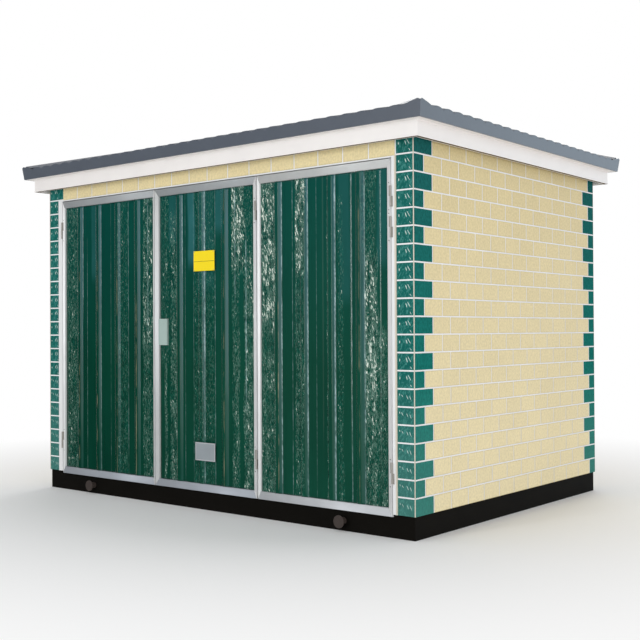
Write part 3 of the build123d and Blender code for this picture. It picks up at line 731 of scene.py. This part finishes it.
def door_panel(side, spec, seed):
    """Folded sheet of one leaf with the relief of its film, in place of the plain panel."""
    node = side + "_door_panel"
    low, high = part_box(node)
    first, count = spec["ribs"]
    ribs = [first * MM + k * RIB_PITCH for k in range(count)]
    line_spots = [line[0] * MM for line in spec["lines"] + spec["warm"]]
    columns = column_places(low.x, high.x, ribs, line_spots)
    profile = [PAN_FACE - sheet_relief(x, ribs) for x in columns]
    steps = round((high.z - low.z) / ROW_STEP)
    rows = [low.z + (high.z - low.z) * k / steps for k in range(steps + 1)]
    points = []
    values = {"film": [], "sheen": [], "flank": [], "line": [], "warm": []}
    for z in rows:
        for x, face in zip(columns, profile):
            film = film_weight(x, z, spec["film"])
            lift = film * film_relief(x, z, seed) if film > 0 else 0
            points.append((x, face - lift, z))
            shares = (film, film_weight(x, z, spec["sheen"]), flank_weight(x, ribs),
                      line_weight(x, z, spec["lines"]), line_weight(x, z, spec["warm"]))
            for numbers, share in zip(values.values(), shares):
                numbers.append(share)
    wide, tall = len(columns), len(rows)
    faces = [(r * wide + c, r * wide + c + 1, (r + 1) * wide + c + 1, (r + 1) * wide + c)
             for r in range(tall - 1) for c in range(wide - 1)]
    smooth = [True] * len(faces)

    # Edges and back of the sheet, flat, from a second ring of points
    border = list(range(wide)) + [r * wide + wide - 1 for r in range(1, tall)]
    border += [(tall - 1) * wide + c for c in range(wide - 2, -1, -1)]
    border += [r * wide for r in range(tall - 2, 0, -1)]
    start, ring = len(points), len(border)
    points += [(points[k][0], high.y, points[k][2]) for k in border]
    for k in range(ring):
        n = (k + 1) % ring
        faces.append((border[n], border[k], start + k, start + n))
    faces.append(tuple(start + k for k in range(ring - 1, -1, -1)))
    smooth += [False] * (ring + 1)
    made = make_piece(node + "_sheet", points, faces, ["door_green"], side + "_door",
                      smooth)
    point_values(made, {name: numbers + [0.0] * ring for name, numbers in values.items()})
    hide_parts(node)


BAR_DOME, BAR_ROUND, DOME_STEPS = 1.0 * MM, 2.5 * MM, 8


def bar_section(width, dome):
    """Profile across a bar: (run from the outer edge, depth behind the crown)."""
    half = width / 2
    round_edge = min(BAR_ROUND, half / 2)
    section = []
    for step in range(DOME_STEPS + 1):
        across = 2 * step / DOME_STEPS - 1
        section.append((half + across * (half - round_edge), dome * across * across))
    left = [(round_edge * (1 - math.sin(a)), dome + round_edge * (1 - math.cos(a)))
            for a in (math.radians(90), math.radians(60), math.radians(30))]
    right = [(width - run, depth) for run, depth in reversed(left)]
    return left + section + right


def leaf_frame(side, spec):
    """Four mitred bars round a leaf, in place of the plain frame."""
    node = side + "_door_frame"
    low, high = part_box(node)
    places = ("left", "right", "top", "bottom")
    stiles = [width * MM for width in spec["stiles"]]
    widths = dict(zip(places, (*stiles, RAIL_FACE, RAIL_FACE)))
    outer = dict(zip(places, (low.x, high.x, high.z, low.z)))
    inward = dict(zip(places, (1, -1, -1, 1)))
    front, back = low.y, high.y
    points, faces, indices, smooth = [], [], [], []
    for index, place in enumerate(places):
        upright = place in ("left", "right")
        width = widths[place]
        section = bar_section(width, BAR_DOME * min(width / RAIL_FACE, 1))
        section = [(0, back - front)] + section + [(width, back - front)]
        start = len(points)
        for end in ("bottom", "top") if upright else ("left", "right"):
            for run, depth in section:
                across = outer[place] + inward[place] * run
                along = outer[end] + inward[end] * widths[end] * run / width
                points.append((across, front + depth, along) if upright
                              else (along, front + depth, across))
        count = len(section)
        flip = (inward[place] > 0) != upright
        for k in range(count):
            n = (k + 1) % count
            quad = (start + k, start + n, start + count + n, start + count + k)
            faces.append(quad[::-1] if flip else quad)
            smooth.append(k not in (0, count - 2, count - 1))
        for end in (0, 1):
            cap = tuple(start + end * count + k for k in range(count))
            faces.append(cap if (end == 0) == flip else cap[::-1])
            smooth.append(False)
        indices += [index] * (count + 2)
    made = make_piece(node + "_bars", points, faces, spec["bars"], side + "_door",
                      smooth, indices)
    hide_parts(node)


FIRST_SEED, SEED_STEP = 7.3, 5
for number, (side, spec) in enumerate(LEAVES.items()):
    door_panel(side, spec, FIRST_SEED + SEED_STEP * number)
    leaf_frame(side, spec)


# Roof: smooth wave sheets, scalloped fascias and the board edges
EAR_RUN = 112 * MM
WAVE_PITCH, WAVE_HEIGHT, WAVE_SHOULDER = 108 * MM, 16 * MM, 0.6
WAVE_STEPS = 20
SHEET = 4 * MM
SEAT_GAP = 0.4 * MM
EAR_SEAT = 11 * MM
HIP_CLEAR = 12 * MM
HIP_GAP = HIP_CLEAR * math.sqrt(2)
LEAST_SLOPE = 1 * MM
PITCH = math.radians(13)


def wave_height(share):
    """Height of the arches at a number of waves from the end."""
    return WAVE_HEIGHT * abs(math.sin(math.pi * share)) ** WAVE_SHOULDER


def wave_run(side):
    """Half the length of a slope's waves, and the number of mesh steps along all of them."""
    low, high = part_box("roof_" + side + "_slope")
    half = (high.x - low.x) / 2 if side in LONG_SIDES else (high.y - low.y) / 2
    return half, round(2 * half / WAVE_PITCH) * WAVE_STEPS


def roof_sheet(side):
    """Wave sheet of one slope, cut along the hips in plan, with flat plates under its ears."""
    node = "roof_" + side + "_slope"
    low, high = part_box(node)
    along, outward = SIDES[side]
    eave_out = max(abs(low.y), abs(high.y)) if side in LONG_SIDES else max(abs(low.x), abs(high.x))
    half, count = wave_run(side)
    run = half + EAR_RUN
    top_run = max(run - eave_out, 0)
    points = []

    def add_pair(place, reach, lift=0):
        """The lower and the upper point of the sheet at one spot of the slope."""
        spot = along * place + outward * reach
        height = low.z + (eave_out - reach) * math.tan(PITCH) + lift
        points.extend((spot.x, spot.y, height + thick) for thick in (0, SHEET))

    for k in range(count + 1):
        place = (k / count - 0.5) * 2 * half
        inner = HIP_CLEAR
        if abs(place) > top_run - HIP_GAP:
            inner = eave_out - (run - abs(place)) + HIP_GAP
        inner = min(max(inner, HIP_CLEAR), eave_out - LEAST_SLOPE)
        for reach in (eave_out, inner):
            add_pair(place, reach, wave_height(k / WAVE_STEPS))
    last = 4 * count
    faces = band_faces(last)
    for end in (-1, 1):
        start = len(points)
        edge_out = eave_out - EAR_SEAT
        for place, reach in ((half, edge_out), (run - EAR_SEAT - HIP_GAP, edge_out),
                             (half, eave_out - EAR_RUN + HIP_GAP)):
            add_pair(end * place, reach)
        plate = [(0, 2, 4), (5, 3, 1), (0, 1, 3, 2), (2, 3, 5, 4), (4, 5, 1, 0)]
        faces += [tuple(start + k for k in (face if end < 0 else face[::-1])) for face in plate]
    smooth = [k % 4 < 2 and k < last for k in range(len(faces))]
    made = make_piece(node + "_waves", points, faces, ["roof_grey"], "housing", smooth)
    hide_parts(node)


FASCIA_LEAN = 12 / 92
FASCIA_THICKNESS = 10 * MM
EAR_HEIGHT, NOTCH_RUN, NOTCH_DEPTH = 92 * MM, 16 * MM, 8 * MM
EAR_KNEE_RUN, EAR_KNEE_HEIGHT = 72 * MM, 80 * MM
EAR_COLUMNS = 3
FASCIA_HEIGHT = 57 * MM - SEAT_GAP
END_FILL = 11 * MM


def fascia_board(side):
    """Leaning eaves board, cut to the arches on top, with a mitred ear at each end."""
    node = "fascia_" + side
    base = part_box(node)[0].z
    along, outward = SIDES[side]
    foot_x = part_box("fascia_right")[1].x - EAR_HEIGHT * FASCIA_LEAN
    foot_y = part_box("fascia_back")[1].y - EAR_HEIGHT * FASCIA_LEAN
    foot_run, foot_out = (foot_x, foot_y) if side in LONG_SIDES else (foot_y, foot_x)
    notch_height = EAR_HEIGHT - NOTCH_DEPTH
    tip_run = foot_run + notch_height * FASCIA_LEAN
    shoulder, knee = tip_run - NOTCH_RUN, tip_run - EAR_KNEE_RUN

    # Columns from end to end: run at the foot, run at the top, height
    columns = [(-foot_run, -tip_run, notch_height), (-shoulder, -shoulder, EAR_HEIGHT),
               (-knee, -knee, EAR_KNEE_HEIGHT)]
    half, count = wave_run(side)
    for k in range(count + 1):
        place = (k / count - 0.5) * 2 * half
        arch = wave_height(k / WAVE_STEPS)
        if min(k, count - k) < WAVE_STEPS / 2:
            arch = max(arch, END_FILL)
        columns.append((place, place, FASCIA_HEIGHT + arch))
    columns += [(knee, knee, EAR_KNEE_HEIGHT), (shoulder, shoulder, EAR_HEIGHT),
                (foot_run, tip_run, notch_height)]

    points = []
    mitres = {0: 1, len(columns) - 1: -1}
    for index, (foot, top, height) in enumerate(columns):
        for back in (0, FASCIA_THICKNESS):
            inset = back * mitres.get(index, 0)
            for place, up in ((foot, 0), (top, height)):
                out = foot_out + up * FASCIA_LEAN - back
                spot = along * (place + inset) + outward * out
                points.append((spot.x, spot.y, base + up))
    last = 4 * (len(columns) - 1)
    faces = band_faces(last)
    ear = 4 * EAR_COLUMNS
    smooth = [k % 4 == 0 and ear <= k < last - ear for k in range(len(faces))]
    made = make_piece(node + "_board", points, faces, ["roof_grey"], "housing", smooth)
    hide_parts(node)


for side in SIDES:
    roof_sheet(side)
    fascia_board(side)


# Small fittings, joined into one mesh for each kind and body
class Bits:
    """Collects boxes and discs that share a finish and a body."""

    def __init__(self):
        self.points, self.faces = [], []

    def box(self, low, high):
        first = len(self.points)
        self.points += [(x, y, z) for z in (low[2], high[2]) for y in (low[1], high[1])
                        for x in (low[0], high[0])]
        for quad in ((0, 2, 3, 1), (4, 5, 7, 6), (0, 1, 5, 4), (2, 6, 7, 3), (0, 4, 6, 2),
                     (1, 3, 7, 5)):
            self.faces.append(tuple(first + k for k in quad))

    def disc(self, x, y, z, radius, height, dome=0.35, sides=16):
        """A low round head on a face that looks towards -Y."""
        first = len(self.points)
        for share, lift in ((1.0, 0.0), (1.0, 1 - dome), (0.6, 1.0)):
            for k in range(sides):
                angle = 2 * math.pi * k / sides
                self.points.append((x + radius * share * math.cos(angle), y - height * lift,
                                    z + radius * share * math.sin(angle)))
        self.faces += ring_faces(first, 3, sides)

    def finish(self, name, key, body, slot):
        make_piece(name, self.points, self.faces, [key], body)


STRIP_RISE, STRIP_DEPTH, STRIP_GAP = 60 * MM, 1 * MM, 0.5 * MM


def corner_strips():
    """Thin upright trims on the building corners, and the strip beside the right jamb."""
    strips = Bits()
    for x_side in (-1, 1):
        for y_side in (-1, 1):
            left, right = sorted((x_side * (FACE_X - CORNER_TRIM), x_side * (FACE_X + SLIP_PROUD)))
            front, back = sorted((y_side * (FACE_Y - STRIP_DEPTH), y_side * (FACE_Y + SLIP_PROUD)))
            strips.box((left, front, BASE_TOP), (right, back, CORNICE_FOOT + STRIP_RISE))
    jamb_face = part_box("door_jambs")[0].y
    strips.box((PIER_RIGHT - JAMB_STRIP, jamb_face - STRIP_GAP, BASE_TOP),
               (PIER_RIGHT + JAMB_JOINT - STRIP_GAP, -FACE_Y, HEAD_TOP))
    strips.finish("corner_strips", "corner_trim", "housing", "cream_brick")


# Painted shadow under the cornice lip: inset from the outer edge, width and thickness
SHADOW_INSET, SHADOW_WIDTH, SHADOW_DEPTH = 3 * MM, 16 * MM, 0.8 * MM


def cornice_shadow_strips():
    """Brown strip on the underside of the cornice lip, all round: painted shadow, a dark line
    where the lip's underside lies in shade.
    """
    shadow_strips = Bits()
    edge_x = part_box("cornice_right")[1].x - SHADOW_INSET
    edge_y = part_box("cornice_back")[1].y - SHADOW_INSET
    low, high = CORNICE_FOOT - SHADOW_DEPTH, CORNICE_FOOT + SHADOW_DEPTH / 2
    for x_side in (-1, 1):
        inner, outer = sorted((x_side * (edge_x - SHADOW_WIDTH), x_side * edge_x))
        shadow_strips.box((inner, -edge_y, low), (outer, edge_y, high))
    for y_side in (-1, 1):
        inner, outer = sorted((y_side * (edge_y - SHADOW_WIDTH), y_side * edge_y))
        shadow_strips.box((-edge_x + SHADOW_WIDTH, inner, low), (edge_x - SHADOW_WIDTH, outer, high))
    shadow_strips.finish("cornice_shadow_strips", "painted_shadow_brown", "housing", "trim_white")


# Plates: inset and radius of the screws in mm, and the sizes of the sign's line and the rim
PLATE_SCREWS = {"sign_plate": (6, 2.6), "name_plate": (8, 3.0)}
SCREW_HEAD = 1.2 * MM
LINE_PLACE, LINE_INSET, LINE_HALF, LINE_PROUD = 0.48, 4 * MM, 1 * MM, 0.3 * MM
RIM_WIDTH, RIM_PROUD, PLATE_BED = 3 * MM, 0.5 * MM, 0.5 * MM


def plate_fittings():
    """Screws at the corners of both plates, the line across the sign and the rim of the other."""
    screws, line, rim = Bits(), Bits(), Bits()
    for name, (inset, radius) in PLATE_SCREWS.items():
        low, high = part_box(name)
        for x in (low.x + inset * MM, high.x - inset * MM):
            for z in (low.z + inset * MM, high.z - inset * MM):
                screws.disc(x, low.y, z, radius * MM, SCREW_HEAD)
    screws.finish("plate_screws", "hinge_steel", "middle_door", "hinge_steel")
    low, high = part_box("sign_plate")
    middle = low.z + LINE_PLACE * (high.z - low.z)
    line.box((low.x + LINE_INSET, low.y - LINE_PROUD, middle - LINE_HALF),
             (high.x - LINE_INSET, low.y + PLATE_BED, middle + LINE_HALF))
    line.finish("sign_line", "sign_line", "middle_door", "sign_yellow")
    low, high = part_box("name_plate")
    left, right = low.x + RIM_WIDTH, high.x - RIM_WIDTH
    foot, head = low.z + RIM_WIDTH, high.z - RIM_WIDTH
    face, back = low.y - RIM_PROUD, low.y + PLATE_BED
    rim.box((left, face, foot), (right, back, foot + RIM_WIDTH))
    rim.box((left, face, head - RIM_WIDTH), (right, back, head))
    rim.box((left, face, foot + RIM_WIDTH), (left + RIM_WIDTH, back, head - RIM_WIDTH))
    rim.box((right - RIM_WIDTH, face, foot + RIM_WIDTH), (right, back, head - RIM_WIDTH))
    rim.finish("name_plate_rim", "stile_silver", "middle_door", "plate_silver")


# Hinge heights of each leaf, and the rivets above and below them, in mm
HINGE_HEIGHTS = {"left": (353, 1858), "middle": (353, 1858), "right": (353, 1691, 1858)}
RIVET_RUN, RIVET_RADIUS, RIVET_HEAD = 74, 2.6, 1.0
RIVET_SEAT = BAR_DOME * 0.1


def stile_rivets():
    """Dark rivet heads on the stiles, above and below each hinge."""
    for side, heights in HINGE_HEIGHTS.items():
        low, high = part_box(side + "_door_frame")
        heads = Bits()
        at_left = side == "left"
        width = LEAVES[side]["stiles"][0 if at_left else 1] * MM
        x = low.x + width / 2 if at_left else high.x - width / 2
        for height in heights:
            for offset in (-RIVET_RUN, RIVET_RUN):
                heads.disc(x, low.y + RIVET_SEAT, (height + offset) * MM, RIVET_RADIUS * MM,
                           RIVET_HEAD * MM)
        heads.finish(side + "_stile_rivets", "dark_gap", side + "_door", "hinge_steel")


corner_strips()
cornice_shadow_strips()
plate_fittings()
stile_rivets()

# Camera: 36 mm sensor, at about chest height; angles in degrees
CAMERA_PLACE = (4.6928, -5.6970, 1.1290)
CAMERA_YAW, CAMERA_PITCH, CAMERA_ROLL = 39.287, 0.586, -0.288
CAMERA_LENS = 57.96
camera = add_object("camera", bpy.data.cameras.new("camera"))
camera.data.sensor_width = 36
camera.data.lens = CAMERA_LENS
camera.data.clip_end = 200
camera.matrix_world = Matrix.Translation(CAMERA_PLACE)
for degrees, axis in ((CAMERA_YAW, "Z"), (90 + CAMERA_PITCH, "X"), (CAMERA_ROLL, "Z")):
    camera.matrix_world = camera.matrix_world @ Matrix.Rotation(math.radians(degrees), 4, axis)
bpy.context.scene.camera = camera


def area_light(name, place, aim, width, height, power, color=(1, 1, 1)):
    """A soft rectangular lamp turned towards a point."""
    data = bpy.data.lights.new(name, "AREA")
    data.shape = "RECTANGLE"
    data.size, data.size_y = width, height
    data.energy = power
    data.color = color
    made = add_object(name, data)
    made.location = place
    made.rotation_mode = "QUATERNION"
    made.rotation_quaternion = (Vector(aim) - Vector(place)).to_track_quat("-Z", "Y")


area_light("key", (9.3, -3.4, 0.95), (0, -0.4, 1.2), 4.5, 1.6, 165)
area_light("strip", (-0.7, -9.6, 2.6), (0, 0, 1.4), 0.6, 5.0, 150)
area_light("side", (2.4, -9.4, 2.4), (0, 0, 1.2), 3.6, 4.4, 110, (0.84, 0.95, 1.0))
area_light("back", (-3.0, 9.0, 6.0), (0, 0, 1.0), 6.0, 4.0, 260)


def card(name, corners, key):
    """A flat sheet with four corners."""
    mesh = bpy.data.meshes.new(name)
    mesh.from_pydata(corners, [], [(0, 1, 2, 3)])
    mesh.materials.append(mats[key])
    return add_object(name, mesh)


def reflection_card(name, corners, key):
    """A card that only mirror rays meet, so glossy faces have something to show."""
    made = card(name, corners, key)
    for kind in ("camera", "diffuse", "transmission", "volume_scatter", "shadow"):
        setattr(made, "visible_" + kind, False)


FLAG_RIGHT, FLAG_LEFT = (-3.7, -12.5), (-12.8, -4.0)
FLAG_NEAR_LEFT, FLAG_NEAR_RIGHT = (-2.6, -1.3), (1.7, -1.3)
FLAG_FOOT, FLAG_TOP = 0.005, 6.5
BLACK, WHITE = (0, 0, 0, 1), (1, 1, 1, 1)
Shader("flag_black", BLACK, 1.0, specular=0.0)
reflection_card("flag_upright", [(*FLAG_RIGHT, FLAG_FOOT), (*FLAG_LEFT, FLAG_FOOT),
                                 (*FLAG_LEFT, FLAG_TOP), (*FLAG_RIGHT, FLAG_TOP)], "flag_black")
reflection_card("flag_floor", [(*FLAG_RIGHT, FLAG_FOOT), (*FLAG_LEFT, FLAG_FOOT),
                               (*FLAG_NEAR_LEFT, FLAG_FOOT), (*FLAG_NEAR_RIGHT, FLAG_FOOT)],
                "flag_black")

# A bluish card behind on the right stands for the sky that the side eaves mirror
SKY_LEFT, SKY_RIGHT, SKY_BACK, SKY_FOOT, SKY_TOP = 3.5, 11.0, 9.0, 0.3, 6.0
bluish = Shader("sky_card", BLACK, 1.0, specular=0.0)
bluish.surface({"Emission Color": (0.72, 0.88, 1.0, 1), "Emission Strength": 2.3})
reflection_card("sky_card", [(SKY_LEFT, SKY_BACK, SKY_FOOT), (SKY_RIGHT, SKY_BACK, SKY_FOOT),
                             (SKY_RIGHT, SKY_BACK, SKY_TOP), (SKY_LEFT, SKY_BACK, SKY_TOP)],
                "sky_card")

# World: an even pale light, and plain white where it is seen or mirrored
world = bpy.data.worlds.new("studio")
world.use_nodes = True
bpy.context.scene.world = world
sky = Nodes(world.node_tree)
lit = sky.tree.nodes["Background"]
sky.plug(lit.inputs["Color"], WHITE)
sky.plug(lit.inputs["Strength"], 0.68)
seen = sky.node("Background", {"Color": WHITE})
rays = sky.node("LightPath").outputs
any_seen = sky.math("MAXIMUM", rays["Is Camera Ray"], rays["Is Glossy Ray"])
any_seen = sky.math("MAXIMUM", any_seen, rays["Is Transmission Ray"])
blend = sky.node("MixShader", {"Fac": any_seen, 1: lit.outputs[0], 2: seen.outputs[0]})
sky.plug(sky.tree.nodes["World Output"].inputs["Surface"], blend.outputs[0])

# Floor: a wide pale plane that keeps the shadow near the object and fades to white in view
REACH = 60
FADE_START, FADE_END = 1.8, 4.6
pale = Shader("floor", (0.9, 0.9, 0.9, 1), 0.9, specular=0.0)
distance = pale.node("VectorMath", {0: pale.place}, operation="LENGTH").outputs["Value"]
fade = pale.times(pale.remap(distance, FADE_START, FADE_END),
                  pale.node("LightPath").outputs["Is Camera Ray"])
far_white = pale.node("Emission", {"Color": WHITE})
blend = pale.node("MixShader", {"Fac": fade, 1: pale.bsdf.outputs[0], 2: far_white.outputs[0]})
pale.plug(pale.tree.nodes["Material Output"].inputs["Surface"], blend.outputs[0])
card("floor", [(x * REACH, y * REACH, 0) for x, y in
                        ((-1, -1), (1, -1), (1, 1), (-1, 1))], "floor")

bpy.context.scene.view_settings.view_transform = "Standard"
